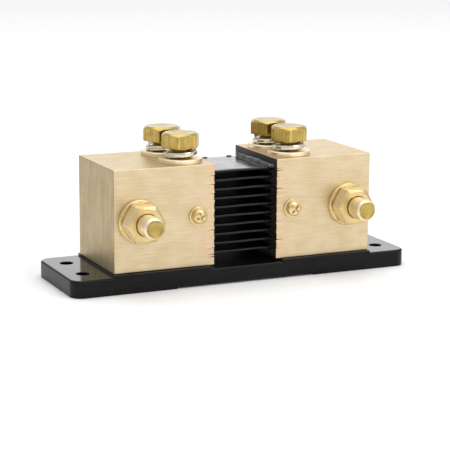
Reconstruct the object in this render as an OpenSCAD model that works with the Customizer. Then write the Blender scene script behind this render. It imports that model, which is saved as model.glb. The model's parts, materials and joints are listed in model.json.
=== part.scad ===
// Battery monitor shunt: two brass terminal blocks on a moulded base, joined by a stack of resistor strips.
// Millimetres. X runs from the left terminal to the right one, -Y is the side of the studs, +Z is up.
// The origin is at the middle of the base's mounting holes, on the surface that the feet stand on.

/* [Base] */
// Length of base beyond each block, where the mounting holes are
tab_length = 16; // [12:0.5:30]
// Width of base that shows in front of the blocks and behind them
base_margin = 1.75; // [1:0.25:10]
// Height of the base's two ends above the surface it stands on
base_thickness = 6.4; // [5:0.1:10]
// Radius of the base's corners, seen from above
base_corner = 4.5; // [2:0.5:8]
// Radius along the base's upper edges
base_edge = 0.8; // [0.4:0.1:1.5]
// Height that the feet stand proud of the rest of the underside
foot_height = 0.8; // [0.4:0.1:2]
// Length of each foot along the base
foot_length = 40; // [20:1:45]
// Height that the pads under the blocks stand proud of the ends
pad_height = 0.8; // [0.4:0.1:2]
// Distance from each block's inner face to the inner end of its pad
pad_setback = 2; // [0:0.5:4]

/* [Mounting holes] */
// Distance from each end of the base to its mounting holes
hole_inset = 7.5; // [5:0.5:9]
// Distance between the two mounting holes of one end
hole_spacing = 18; // [10:1:24]
// Diameter of each mounting hole
hole_diameter = 4.8; // [4:0.1:6]

/* [Terminal blocks] */
// Length of each block along the base
block_length = 39; // [32:1:50]
// Depth of each block, front to back
block_depth = 36.5; // [30:0.5:50]
// Height of each block
block_height = 37.5; // [31:0.5:50]
// Gap between the two blocks
block_gap = 25; // [16:1:34]

/* [Resistor strips] */
// Number of strips in the stack
strip_count = 10; // [4:1:12]
// Thickness of each strip
strip_thickness = 0.8; // [0.5:0.1:1]
// Width of each strip, front to back
strip_width = 27.4; // [20:0.2:32]
// Depth of the top face of the highest strip below the blocks' top faces
strip_drop = 3.4; // [2:0.1:6]
// Height of the lowest strip's underside above the blocks' undersides
strip_floor = 3.15; // [2:0.05:6]
// Depth of the saw slots that hold the strips
slot_depth = 3.2; // [2:0.1:4]
// Radius of the solder fillets along the strips
solder_radius = 0.7; // [0.3:0.1:0.8]

/* [Terminal bolts] */
// Diameter of the bolts' shanks
bolt_diameter = 8; // [6:0.5:9]
// Thread pitch of the bolts and studs
bolt_pitch = 1.25; // [1:0.25:1.5]
// Distance from a block's inner face to the rims of the bolts' washers
bolt_margin = 1.5; // [1:0.5:4]
// Gap between the flat washers of a block's two bolts
bolt_gap = 1.5; // [0.5:0.5:8]
// Distance across the flats of the bolt heads and nuts
hex_flats = 13; // [10.5:0.5:16]
// Height of the bolt heads
head_height = 5.3; // [4:0.1:6.5]
// Length of thread in the block when a bolt is down
bolt_engagement = 12; // [8:0.5:13]
// Turn of each head from square: left front, left back, right front, right back, in degrees
head_turns = [0, 0, 5, 0];

/* [Washers] */
// Outside diameter of the flat washers under the bolts and nuts
washer_diameter = 16; // [13:0.5:20]
// Thickness of the flat washers
washer_thickness = 1.6; // [1:0.1:2]
// Thickness of the spring washers' coil, along the bolt
spring_thickness = 2.1; // [1.6:0.1:2.5]
// Width of the spring washers' coil, across the bolt
spring_width = 2; // [1.5:0.1:2.2]
// Height of a spring washer before it is squashed flat
spring_free_height = 3.8; // [3.5:0.1:4.5]

/* [Studs] */
// Distance from a block's outer face to the rim of the stud's washer
stud_margin = 1.5; // [1:0.5:4]
// Length of stud that stands out of the block
stud_reach = 15.7; // [14:0.1:25]
// Length of stud inside the block
stud_engagement = 20; // [10:1:24]
// Height of the nuts
nut_height = 6.5; // [5:0.1:8]

/* [Sense screws] */
// Distance from a block's inner face to the sense screw's axis
sense_setback = 6.5; // [6:0.5:8]
// Diameter of the sense screws' shanks
sense_diameter = 3; // [2.5:0.5:4]
// Diameter of the sense screws' pan heads
sense_head = 5.6; // [5:0.1:8]
// Height of the sense screws' pan heads
sense_head_height = 2.2; // [1.6:0.1:3]
// Length of thread in the block when a sense screw is down
sense_engagement = 8; // [5:0.5:10]
// Outside diameter of the sense screws' washers
sense_washer = 7.2; // [6:0.1:9]
// Thickness of the sense screws' washers
sense_washer_thickness = 0.6; // [0.4:0.1:1]

/* [Base screws] */
// Diameter of the screws that hold the blocks down, from below
base_screw_diameter = 5; // [4:0.5:6]
// Length of base screw inside the block
base_screw_engagement = 8; // [5:0.5:10]
// Distance from a block's inner and outer faces to the base screws' axes
base_screw_inset = 8.5; // [7:0.5:12]

/* [Fits] */
// Radial clearance of a thread in its hole, modelled as a plain bore
thread_clearance = 0.05; // [0.02:0.01:0.1]
// Radial clearance of a washer on its shank
washer_clearance = 0.2; // [0.1:0.05:0.4]
// Clearance all round a strip in its slot
slot_clearance = 0.1; // [0.05:0.05:0.2]

/* [Hidden] */
$fn = 96;
SIDES = ["left", "right"];
ENDS = ["front", "back"];
BOLTS = [for (side = SIDES) for (end = ENDS) str(side, "_", end)];
STRIPS = [for (i = [1 : strip_count]) str("strip_", i)];

brass = [0.86, 0.76, 0.58];
gold = [0.78, 0.64, 0.30];
steel = [0.80, 0.80, 0.78];
black = [0.12, 0.12, 0.12];
solder_grey = [0.30, 0.30, 0.29];

overcut = 1;
bore_run = 1;
contact_gap = 0.02;

// Places along X, measured outwards from the middle of the object
inner_face = block_gap / 2;
outer_face = inner_face + block_length;
bolt_x = inner_face + bolt_margin + washer_diameter / 2;
stud_x = outer_face - stud_margin - washer_diameter / 2;
sense_x = inner_face + sense_setback;
base_screw_x = [inner_face + base_screw_inset, outer_face - base_screw_inset];

// Sizes that follow from the blocks and washers
base_length = 2 * (outer_face + tab_length);
base_width = block_depth + 2 * base_margin;
hole_x = base_length / 2 - hole_inset;
bolt_spacing = washer_diameter + bolt_gap;
strip_pitch = (block_height - strip_drop - strip_thickness - strip_floor) / (strip_count - 1);

// Heights
floor_z = foot_height;
seat_z = base_thickness + pad_height;
top_z = seat_z + block_height;
middle_z = seat_z + block_height / 2;
top_strip_z = top_z - strip_drop;

front_face = -block_depth / 2;

// Hex heads and nuts: the chamfer's circle and slope
chamfer_circle = 0.95 * hex_flats / 2;
chamfer_slope = tan(30);
hex_corner = hex_flats / 2 / cos(30);

spring_inner = bolt_diameter / 2 + washer_clearance;
spring_split = 14;
spring_steps = 40;

stud_chamfer = 0.9;
stud_groove_width = 2;
stud_groove_depth = 0.3;
stud_groove_show = 0.2;
bolt_tip = 0.8;

base_screw_head = base_screw_diameter * 0.92;

function side_sign(side) = side == "left" ? -1 : 1;
function end_sign(end) = end == "front" ? -1 : 1;

// ---- Shared shapes ----

// A plate with rounded corners and rounded upper edges, standing on z = 0
module rounded_plate(length, width, height, corner, edge) {
    rotate([90, 0, 90])
        translate([0, 0, -length / 2 + corner])
            linear_extrude(length - 2 * corner)
                edge_section(width, height, edge);
    rotate([90, 0, 0])
        translate([0, 0, -width / 2 + corner])
            linear_extrude(width - 2 * corner)
                edge_section(length, height, edge);
    for (x = [-1, 1], y = [-1, 1])
        translate([x * (length / 2 - corner), y * (width / 2 - corner), 0])
            rotate_extrude()
                intersection() {
                    edge_section(2 * corner, height, edge);
                    square([corner, height]);
                }
}

// The plate's section: flat below, with its two upper corners rounded
module edge_section(width, height, edge) {
    translate([-width / 2, 0])
        square([width, height - edge]);
    translate([-width / 2 + edge, 0])
        square([width - 2 * edge, height]);
    for (side = [-1, 1])
        translate([side * (width / 2 - edge), height - edge])
            circle(edge);
}

// A hexagonal prism on z = 0 with its upper corners chamfered by a cone
module chamfered_hex(height) {
    intersection() {
        cylinder(r = hex_corner, h = height, $fn = 6);
        cylinder(r1 = chamfer_circle + height / chamfer_slope, r2 = chamfer_circle, h = height);
    }
}

// A hexagonal prism on z = 0, chamfered at both ends
module chamfered_nut(height) {
    intersection() {
        chamfered_hex(height);
        cylinder(r1 = chamfer_circle, r2 = chamfer_circle + height / chamfer_slope, h = height);
    }
}

// A round shank that hangs down from z = 0 and ends in a chamfer
module shank(radius, length, tip) {
    translate([0, 0, -length + tip])
        cylinder(r = radius, h = length - tip);
    translate([0, 0, -length])
        cylinder(r1 = radius - tip, r2 = radius, h = tip);
}

module flat_ring(outer, inner, thickness) {
    difference() {
        cylinder(r = outer, h = thickness);
        translate([0, 0, -overcut])
            cylinder(r = inner, h = thickness + 2 * overcut);
    }
}

// The four corners of a split coil's section at one step around its turn
function coil_ring(turn, rise) = [
    for (corner = [[0, 0], [1, 0], [1, 1], [0, 1]])
        let (radius = spring_inner + corner[0] * spring_width)
            [radius * cos(turn), radius * sin(turn), rise + corner[1] * spring_thickness]
];

// A split spring washer on z = 0, sprung open by its free height
module split_coil() {
    turn = 360 - spring_split;
    lift = spring_free_height - spring_thickness - 2 * contact_gap;
    rings = [
        for (i = [0 : spring_steps])
            coil_ring(spring_split / 2 + turn * i / spring_steps, contact_gap + lift * i / spring_steps)
    ];
    points = [for (ring = rings) for (point = ring) point];
    sides = [
        for (i = [0 : spring_steps - 1], k = [0 : 3])
            [4 * i + k, 4 * i + (k + 1) % 4, 4 * (i + 1) + (k + 1) % 4, 4 * (i + 1) + k]
    ];
    last = 4 * spring_steps;
    polyhedron(points, concat([[3, 2, 1, 0]], sides, [[last, last + 1, last + 2, last + 3]]));
}

// ---- Places ----

// Stands its children on a block's top face, on a bolt's axis
module at_bolt(side, end, height) {
    translate([side_sign(side) * bolt_x, end_sign(end) * bolt_spacing / 2, top_z + height])
        children();
}

// Stands its children on a block's front face, pointing out of it
module at_front(x, distance) {
    translate([x, front_face - distance, middle_z])
        rotate([90, 0, 0])
            children();
}

module at_base_screws() {
    for (side = [-1, 1], x = base_screw_x)
        translate([side * x, 0, 0])
            children();
}

// ---- Parts ----

module base() {
    color(black)
    difference() {
        union() {
            rounded_plate(base_length, base_width, base_thickness, base_corner, base_edge);
            for (side = [-1, 1])
                translate([side * (inner_face + pad_setback + outer_face) / 2, 0, 0])
                    pad();
        }
        translate([-(base_length / 2 - foot_length), -base_width / 2 - overcut, -overcut])
            cube([base_length - 2 * foot_length, base_width + 2 * overcut, overcut + floor_z]);
        for (side = [-1, 1], y = [-0.5, 0.5])
            translate([side * hole_x, y * hole_spacing, -overcut])
                cylinder(d = hole_diameter, h = base_thickness + 2 * overcut);
        at_base_screws() base_screw_hole();
    }
}

// The raised seat of one block
module pad() {
    length = block_length - pad_setback;
    rotate([90, 0, 90])
        translate([0, 0, -length / 2])
            linear_extrude(length)
                edge_section(base_width, seat_z, base_edge / 2);
}

// Countersunk hole through the base, sunk so that the screw's head stays above the feet's plane
module base_screw_hole() {
    translate([0, 0, -overcut])
        cylinder(d = base_screw_diameter + 2 * washer_clearance, h = seat_z + 2 * overcut);
    translate([0, 0, -overcut])
        cylinder(r = base_screw_head + washer_clearance, h = overcut + floor_z + 0.2);
    translate([0, 0, floor_z + 0.2])
        cylinder(r1 = base_screw_head + washer_clearance, r2 = base_screw_diameter / 2 + washer_clearance,
            h = base_screw_head - base_screw_diameter / 2);
}

module base_screw() {
    cone = base_screw_head - base_screw_diameter / 2;
    head_z = floor_z + 0.2 + contact_gap;
    color(steel)
    difference() {
        union() {
            translate([0, 0, head_z])
                cylinder(r1 = base_screw_head, r2 = base_screw_diameter / 2, h = cone);
            translate([0, 0, head_z + cone])
                cylinder(d = base_screw_diameter, h = seat_z + base_screw_engagement - head_z - cone);
        }
        cross_recess(head_z, base_screw_diameter, cone);
    }
}

// A cross-shaped driver recess that opens downwards at z
module cross_recess(z, span, depth) {
    for (turn = [0, 90])
        rotate([0, 0, turn])
            translate([-span / 2, -span / 10, z - overcut])
                cube([span, span / 5, depth + overcut]);
}

module base_screws() {
    at_base_screws() base_screw();
}

module block(side) {
    color(brass)
    difference() {
        translate([side_sign(side) == 1 ? inner_face : -outer_face, front_face, seat_z])
            cube([block_length, block_depth, block_height]);
        for (i = [0 : strip_count - 1])
            strip_slot(side_sign(side), strip_z(i));
        for (end = ENDS)
            at_bolt(side, end, -bolt_engagement - bore_run)
                cylinder(r = bolt_diameter / 2 + thread_clearance, h = bolt_engagement + bore_run + overcut);
        at_front(side_sign(side) * stud_x, -stud_engagement - bore_run)
            cylinder(r = bolt_diameter / 2 + thread_clearance, h = stud_engagement + bore_run + overcut);
        at_front(side_sign(side) * sense_x, -sense_engagement - bore_run)
            cylinder(r = sense_diameter / 2 + thread_clearance, h = sense_engagement + bore_run + overcut);
        at_base_screws()
            translate([0, 0, seat_z - overcut])
                cylinder(r = base_screw_diameter / 2 + thread_clearance,
                    h = overcut + base_screw_engagement + bore_run);
    }
}

function strip_z(i) = top_strip_z - strip_thickness - i * strip_pitch;

// The saw slot of one strip, through the block from front to back
module strip_slot(sign, z) {
    translate([sign * inner_face, 0, z - slot_clearance])
        mirror([sign == 1 ? 0 : 1, 0, 0])
            translate([-overcut, front_face - overcut, 0])
                cube([overcut + slot_depth, block_depth + 2 * overcut, strip_thickness + 2 * slot_clearance]);
}

module strip(i) {
    length = block_gap + 2 * (slot_depth - slot_clearance);
    color(black)
    translate([-length / 2, -strip_width / 2, strip_z(i)])
        cube([length, strip_width, strip_thickness]);
}

// Solder fillets above and below every strip, along one block's inner face
module solder(side) {
    color(solder_grey)
    for (i = [0 : strip_count - 1])
        mirror([side_sign(side) == 1 ? 0 : 1, 0, 0]) {
            translate([inner_face, 0, strip_z(i) + strip_thickness])
                solder_fillet();
            translate([inner_face, 0, strip_z(i)])
                mirror([0, 0, 1])
                    solder_fillet();
        }
}

// A hollow-faced bead in the corner between a strip's face and the block
module solder_fillet() {
    rotate([90, 0, 0])
        translate([0, 0, -strip_width / 2])
            linear_extrude(strip_width)
                difference() {
                    translate([-solder_radius, 0])
                        square(solder_radius);
                    translate([-solder_radius, solder_radius])
                        circle(solder_radius);
                }
}

module flat_washer() {
    color(brass)
    flat_ring(washer_diameter / 2, bolt_diameter / 2 + washer_clearance, washer_thickness);
}

module spring_washer() {
    color(steel)
    split_coil();
}

module bolt(turn) {
    below = washer_thickness + spring_free_height + bolt_engagement;
    color(gold)
    union() {
        rotate([0, 0, turn])
            chamfered_hex(head_height);
        shank(bolt_diameter / 2, below, bolt_tip);
    }
}

// A stud with a chamfered end and a groove, under the nut, where its thread for the nut begins
module stud() {
    groove = washer_thickness + nut_height + stud_groove_show - stud_groove_width;
    radius = bolt_diameter / 2;
    color(gold)
    difference() {
        union() {
            translate([0, 0, -stud_engagement])
                cylinder(r = radius, h = stud_engagement + stud_reach - stud_chamfer);
            translate([0, 0, stud_reach - stud_chamfer])
                cylinder(r1 = radius, r2 = radius - stud_chamfer, h = stud_chamfer);
        }
        translate([0, 0, groove])
            flat_ring(radius + overcut, radius - stud_groove_depth, stud_groove_width);
    }
}

module nut() {
    color(gold)
    difference() {
        chamfered_nut(nut_height);
        translate([0, 0, -overcut])
            cylinder(r = bolt_diameter / 2 + thread_clearance, h = nut_height + 2 * overcut);
    }
}

// A pan-headed screw with a cross recess
module sense_screw() {
    color(gold)
    difference() {
        union() {
            intersection() {
                cylinder(d = sense_head, h = sense_head_height);
                translate([0, 0, sense_head_height - sense_head * 0.75])
                    sphere(sense_head * 0.75);
            }
            shank(sense_diameter / 2, sense_washer_thickness + sense_engagement, sense_diameter / 8);
        }
        for (turn = [0, 90])
            rotate([0, 0, turn + 20])
                translate([-sense_head * 0.3, -sense_head * 0.08, sense_head_height * 0.45])
                    cube([sense_head * 0.6, sense_head * 0.16, sense_head_height]);
    }
}

module sense_washer_ring() {
    color(gold)
    flat_ring(sense_washer / 2, sense_diameter / 2 + washer_clearance, sense_washer_thickness);
}

// ---- Assembly ----

base();
base_screws();

for (side = SIDES) {
    sign = side_sign(side);
    block(side);
    solder(side);
    at_front(sign * stud_x, 0) stud();
    at_front(sign * stud_x, 0) flat_washer();
    at_front(sign * stud_x, washer_thickness) nut();
    at_front(sign * sense_x, 0) sense_washer_ring();
    at_front(sign * sense_x, sense_washer_thickness) sense_screw();
}

for (i = [0 : strip_count - 1])
    strip(i);

for (s = [0, 1], e = [0, 1]) {
    side = SIDES[s];
    end = ENDS[e];
    name = BOLTS[2 * s + e];
    at_bolt(side, end, 0) flat_washer();
    at_bolt(side, end, washer_thickness) spring_washer();
    at_bolt(side, end, washer_thickness + spring_free_height) bolt(head_turns[2 * s + e]);
}
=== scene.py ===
"""Looks of a battery monitor shunt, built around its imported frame.

Lengths in the mesh functions are in millimetres and become metres when a piece is made. A piece that is
turned or threaded is built along its own +Z axis and then stood on a block's top or laid on its front face.
"""

import json
import math
import random

import bmesh
import bpy
from bpy.props import FloatProperty, FloatVectorProperty, IntProperty, PointerProperty
from mathutils import Euler, Matrix, Vector

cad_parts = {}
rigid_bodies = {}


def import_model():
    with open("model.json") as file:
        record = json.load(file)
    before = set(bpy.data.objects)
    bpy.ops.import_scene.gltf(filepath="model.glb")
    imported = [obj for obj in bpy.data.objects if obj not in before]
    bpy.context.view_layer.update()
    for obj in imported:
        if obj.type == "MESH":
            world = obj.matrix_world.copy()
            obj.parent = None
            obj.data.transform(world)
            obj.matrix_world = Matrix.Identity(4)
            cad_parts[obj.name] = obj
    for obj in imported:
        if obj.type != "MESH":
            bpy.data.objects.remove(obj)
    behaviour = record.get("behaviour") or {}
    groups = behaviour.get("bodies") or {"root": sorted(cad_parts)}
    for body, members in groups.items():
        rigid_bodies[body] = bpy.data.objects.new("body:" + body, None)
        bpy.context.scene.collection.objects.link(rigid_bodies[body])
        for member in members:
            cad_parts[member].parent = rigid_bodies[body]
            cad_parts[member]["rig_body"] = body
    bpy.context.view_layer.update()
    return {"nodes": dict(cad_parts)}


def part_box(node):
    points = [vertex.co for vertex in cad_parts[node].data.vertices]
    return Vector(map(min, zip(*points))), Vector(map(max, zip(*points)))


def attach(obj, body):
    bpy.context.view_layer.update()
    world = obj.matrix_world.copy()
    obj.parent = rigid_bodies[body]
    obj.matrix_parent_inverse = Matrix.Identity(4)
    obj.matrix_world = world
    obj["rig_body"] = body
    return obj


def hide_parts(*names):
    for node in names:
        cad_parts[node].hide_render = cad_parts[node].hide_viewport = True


bl_info = {
    "name": "Battery Monitor Shunt",
    "version": (1, 0, 0),
    "blender": (4, 5, 0),
    "location": "View3D > Sidebar > Shunt",
    "description": "Builds the finished look of a shunt around its frame",
    "category": "Object",
}

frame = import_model()

MM = 0.001
WELD, CAD_WELD = 1e-4, 1e-3  # millimetres within which points are one
SOFT_BEND = 18  # degrees: heads and nuts are also rounded along their chamfers
SHARP = math.radians(32)  # edges that bend by more stay sharp in the shading
FACES_UP = 0.9  # a face whose normal rises by more points up
USUAL = (0.3, 0.7)  # noise seldom leaves this range
HOLE_PLAY = 0.2  # millimetres between a washer's hole and what goes through it
SIDES = ("left", "right")
ENDS = ("front", "back")
BOLTS = [f"{side}_{end}" for side in SIDES for end in ENDS]
STRIPS = sorted((node for node in frame["nodes"] if node.startswith("strip_")),
                key=lambda node: int(node.removeprefix("strip_")))
ON_TOP = Euler((0, 0, 0))
ON_FRONT = Euler((math.pi / 2, 0, 0))


def srgb(code):
    """Turns an sRGB hex colour to the linear RGBA that Blender's sockets take."""
    channels = [int(code[i : i + 2], 16) / 255 for i in (0, 2, 4)]
    return [c / 12.92 if c <= 0.04045 else ((c + 0.055) / 1.055) ** 2.4 for c in channels] + [1.0]


def between(first, second, share):
    """A colour that is the given share of the way from one linear colour to another."""
    return [a + (b - a) * share for a, b in zip(first, second)]


def box_mm(node):
    """Lowest and highest corner of a CAD node, in millimetres."""
    low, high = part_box(node)
    return low / MM, high / MM


def centre_mm(node):
    low, high = box_mm(node)
    return (low + high) / 2


def size_mm(node):
    low, high = box_mm(node)
    return high - low


def inner_x(side):
    """Where a block's face towards the strips lies, in millimetres."""
    low, high = box_mm(f"{side}_block")
    return high.x if side == "left" else low.x


def side_sign(side):
    return -1 if side == "left" else 1


# ---- Settings ----


class BlockSettings(bpy.types.PropertyGroup):
    edge: FloatProperty(
        name="Edge rounding", description="Radius that deburring leaves on the blocks' edges",
        default=0.3 * MM, min=0.05 * MM, max=1 * MM, precision=5, unit="LENGTH")
    metal: FloatVectorProperty(
        name="Brass", description="Colour of the ground brass", default=srgb("E2D1B1"), size=4,
        subtype="COLOR")
    shade: FloatVectorProperty(
        name="Scratch", description="Colour in the belt's scratches", default=srgb("D3BC92"), size=4,
        subtype="COLOR")
    # The cut-end colour is painted shade: it darkens the blocks' end faces to stand in for the dimmer light
    # there.
    cut: FloatVectorProperty(
        name="Cut end", description="Colour of the rougher scratches on the sawn ends",
        default=srgb("A8946A"), size=4, subtype="COLOR")
    tint: FloatVectorProperty(
        name="Heat tint", description="Colour of the brass beside the soldered slots",
        default=srgb("E8BFA0"), size=4, subtype="COLOR")
    tint_reach: FloatProperty(
        name="Tint reach", description="Width of the tinted band beside the slots", default=7 * MM,
        precision=5, unit="LENGTH")


class StripSettings(bpy.types.PropertyGroup):
    wave: FloatProperty(
        name="Waviness", description="Rise and fall of a strip between the blocks", default=0.07 * MM,
        min=0, max=0.3 * MM, precision=5, unit="LENGTH")
    edge: FloatProperty(
        name="Edge rounding", description="Radius of the lacquer along a strip's edges",
        default=0.24 * MM, min=0.05 * MM, max=0.39 * MM, precision=5, unit="LENGTH")
    bead: FloatProperty(
        name="Solder bead", description="Size of the solder beads along the strips", default=0.85 * MM,
        min=0.3 * MM, max=1.2 * MM, precision=5, unit="LENGTH")
    lacquer: FloatVectorProperty(
        name="Lacquer", description="Colour of the lacquer on strips and solder", default=srgb("141414"),
        size=4, subtype="COLOR")
    seed: IntProperty(name="Seed", description="Seed of the waves, beads and slot ends", default=11)


class FastenerSettings(bpy.types.PropertyGroup):
    edge: FloatProperty(
        name="Edge rounding", description="Radius on the upper rims of the flat washers",
        default=0.3 * MM, min=0.02 * MM, max=0.4 * MM, precision=5, unit="LENGTH")
    metal: FloatVectorProperty(
        name="Brass", description="Colour of the turned and headed brass", default=srgb("D0B46A"), size=4,
        subtype="COLOR")
    worn: FloatVectorProperty(
        name="Tarnish", description="Colour of the darker patches on the brass", default=srgb("9C8747"),
        size=4, subtype="COLOR")
    # The pale colour is a painted highlight on the flat washers, the studs' sides and the nuts' flats, and
    # also lightens the stamped and turned brass.
    pale: FloatVectorProperty(
        name="Tumbled brass", description="Colour of flat washers, studs and nuts' sides",
        default=srgb("FCEED0"), size=4, subtype="COLOR")
    nickel: FloatVectorProperty(
        name="Nickel", description="Colour of the spring washers' plating", default=srgb("E4E0D8"),
        size=4, subtype="COLOR")
    zinc: FloatVectorProperty(
        name="Zinc", description="Colour of the base screws' plating", default=srgb("B9BCC0"), size=4,
        subtype="COLOR")
    thread_depth: FloatProperty(
        name="Thread depth", description="Depth of the coarse thread", default=0.6 * MM, precision=5,
        unit="LENGTH")
    coarse_pitch: FloatProperty(
        name="Coarse pitch", description="Pitch of the bolts' and studs' thread", default=1.25 * MM,
        precision=5, unit="LENGTH")
    fine_pitch: FloatProperty(
        name="Fine pitch", description="Pitch of the sense screws' thread", default=0.5 * MM, precision=5,
        unit="LENGTH")


class BaseSettings(bpy.types.PropertyGroup):
    edge: FloatProperty(
        name="Edge rounding", description="Radius on the base's sharp edges", default=0.35 * MM,
        min=0.05 * MM, max=0.6 * MM, precision=5, unit="LENGTH")
    plastic: FloatVectorProperty(
        name="Plastic", description="Colour of the moulded base", default=srgb("0E0E0F"), size=4,
        subtype="COLOR")


class StageSettings(bpy.types.PropertyGroup):
    floor: FloatVectorProperty(
        name="Floor", description="Colour of the floor", default=srgb("FAFAFA"), size=4, subtype="COLOR")
    azimuth: FloatProperty(
        name="Camera azimuth", description="Turn of the camera round the object",
        default=math.radians(-24.54), subtype="ANGLE")
    elevation: FloatProperty(
        name="Camera elevation", description="Height of the camera above the horizon",
        default=math.radians(12.0), subtype="ANGLE")
    roll: FloatProperty(
        name="Camera roll", description="Turn of the camera about its own line of sight",
        default=math.radians(0.33), subtype="ANGLE")
    distance: FloatProperty(
        name="Camera distance", description="Distance from the camera to the point it looks at",
        default=0.6195, unit="LENGTH")
    aim_height: FloatProperty(
        name="Aim height", description="Height of the point the camera looks at", default=17.5 * MM,
        precision=4, unit="LENGTH")
    lens: FloatProperty(
        name="Lens", description="Focal length in millimetres on a 36 mm sensor", default=131.5)
    key: FloatProperty(
        name="Key light", description="Strength of the main light", default=3.4, unit="POWER")
    fill: FloatProperty(
        name="Fill light", description="Strength of the fill light", default=0.7, unit="POWER")
    overhead: FloatProperty(
        name="Overhead light", description="Strength of the overhead light", default=9.0, unit="POWER")
    surround: FloatProperty(name="Surround", description="Strength of the white surround", default=1.0)


SETTINGS = {
    "shunt_block": BlockSettings,
    "shunt_strip": StripSettings,
    "shunt_fastener": FastenerSettings,
    "shunt_base": BaseSettings,
    "shunt_stage": StageSettings,
}


# ---- Material nodes ----


def add_node(tree, kind, inputs=None, **settings):
    """Adds one shader node. Inputs go by name or number, and each is a value or another node's output."""
    made = tree.nodes.new("ShaderNode" + kind)
    for name, value in settings.items():
        setattr(made, name, value)
    for name, value in (inputs or {}).items():
        if isinstance(value, bpy.types.NodeSocket):
            tree.links.new(value, made.inputs[name])
        else:
            made.inputs[name].default_value = value
    return made


def new_material(name, **sockets):
    """A material with one Principled shader and the shader's plain values, and its node tree."""
    made = bpy.data.materials.new(name)
    made.use_nodes = True
    for socket, value in sockets.items():
        made.node_tree.nodes["Principled BSDF"].inputs[socket.replace("_", " ")].default_value = value
    return made, made.node_tree


def streaks(tree, across, along, axis, detail=3.0):
    """Noise drawn out along one axis: across and along are the size of a streak in millimetres."""
    where = add_node(tree, "TexCoord").outputs["Object"]
    scale = [1 / (across * MM)] * 3
    scale["XYZ".index(axis)] = 1 / (along * MM)
    stretched = add_node(tree, "Mapping", {"Vector": where, "Scale": scale})
    noise = add_node(tree, "TexNoise", {"Vector": stretched.outputs[0], "Scale": 1.0, "Detail": detail})
    return noise.outputs["Fac"]


def spots(tree, size, detail=2.0, shift=0.0):
    """Noise with features of that size in millimetres, different on each object."""
    where = add_node(tree, "TexCoord").outputs["Object"]
    which = add_node(tree, "ObjectInfo").outputs["Random"]
    moved = add_node(tree, "VectorMath", {0: where, 1: which}, operation="ADD")
    noise = add_node(tree, "TexNoise", {
        "Vector": moved.outputs[0], "Scale": 1 / (size * MM), "Detail": detail, "Distortion": shift})
    return noise.outputs["Fac"]


def amount(tree, *layers):
    """The sum of some patterns. A layer is a pattern, the two values between which it counts, and the two
    amounts that it adds there."""
    total = None
    for pattern, low, high, at_low, at_high in layers:
        part = add_node(tree, "MapRange", {"Value": pattern, "From Min": low, "From Max": high,
                                           "To Min": at_low, "To Max": at_high})
        if total is not None:
            part = add_node(tree, "Math", {0: total, 1: part.outputs[0]}, operation="ADD")
        total = part.outputs[0]
    return total


def surface(made, first, second, tone, rough, relief, depth):
    """Gives a material two colours blended by a tone, its roughness, and its relief, whose depth is in
    millimetres."""
    tree = made.node_tree
    colour = add_node(tree, "Mix", {0: tone, 6: first, 7: second}, data_type="RGBA").outputs[2]
    normal = add_node(tree, "Bump", {"Height": relief, "Distance": depth * MM}).outputs[0]
    for output, socket in ((colour, "Base Color"), (rough, "Roughness"), (normal, "Normal")):
        tree.links.new(output, tree.nodes["Principled BSDF"].inputs[socket])
    return made


def patterned(made, pattern, first, second, tone, rough, depth):
    """A surface whose colour, roughness and relief follow one pattern. tone is the rest of the layer that
    blends the colours, and rough is the roughness where the pattern is low and where it is high."""
    tone = amount(made.node_tree, (pattern, *tone))
    rough = amount(made.node_tree, (pattern, *USUAL, *rough))
    return surface(made, first, second, tone, rough, pattern, depth)


# ---- Materials ----


def belt_ground_brass(settings):
    """Leaded brass bar, ground on a fine belt: a pale satin metal with level scratches. The sawn ends are
    scratched
    upright and deeper, and are darker: that darker colour is painted shade on the blocks' end faces.
    Soldering has left a pinkish tint beside the slots."""
    made, tree = new_material("belt_ground_brass", Metallic=1.0)
    # Belt scratches are about 0.05 mm wide; they are drawn at 0.35 mm so that they show.
    level = streaks(tree, 0.35, 9, "X")
    upright = streaks(tree, 0.4, 20, "Z")
    normal = add_node(tree, "SeparateXYZ", {0: add_node(tree, "NewGeometry").outputs["Normal"]}).outputs[0]
    facing = add_node(tree, "Math", {0: normal}, operation="ABSOLUTE").outputs[0]
    end_face = add_node(tree, "Math", {0: facing, 1: 0.5}, operation="GREATER_THAN").outputs[0]
    scratch = add_node(tree, "Mix", {0: end_face, 2: level, 3: upright}, data_type="FLOAT").outputs[0]
    fine = amount(tree, (scratch, 0.3, 0.7, 0, 0.6), (spots(tree, 7, 4.0), 0.35, 0.7, 0, 0.5))
    # On the end faces the tone leans towards the darker colour: painted shade on the blocks' ends, with the
    # upright scratches still showing in it.
    coarse = amount(tree, (fine, 0, 1, 0.6, 1))
    tone = add_node(tree, "Mix", {0: end_face, 2: fine, 3: coarse}, data_type="FLOAT").outputs[0]
    dark = add_node(tree, "Mix", {0: end_face, 6: settings.shade, 7: settings.cut}, data_type="RGBA")
    ground = add_node(tree, "Mix", {0: tone, 6: settings.metal, 7: dark.outputs[2]}, data_type="RGBA")
    place = add_node(tree, "SeparateXYZ", {0: add_node(tree, "TexCoord").outputs["Object"]}).outputs[0]
    from_middle = add_node(tree, "Math", {0: place}, operation="ABSOLUTE").outputs[0]
    inner_face = abs(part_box("left_block")[1].x)
    near = amount(tree, (from_middle, inner_face, inner_face + settings.tint_reach, 1, 0))
    patchy = amount(tree, (streaks(tree, 1.3, 5, "X"), 0.42, 0.62, 0, 0.9))
    heat = add_node(tree, "Math", {0: near, 1: patchy}, operation="MULTIPLY").outputs[0]
    rough = amount(tree, (scratch, *USUAL, 0.36, 0.5))
    return surface(made, ground.outputs[2], settings.tint, heat, rough, scratch, 0.02)


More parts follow.
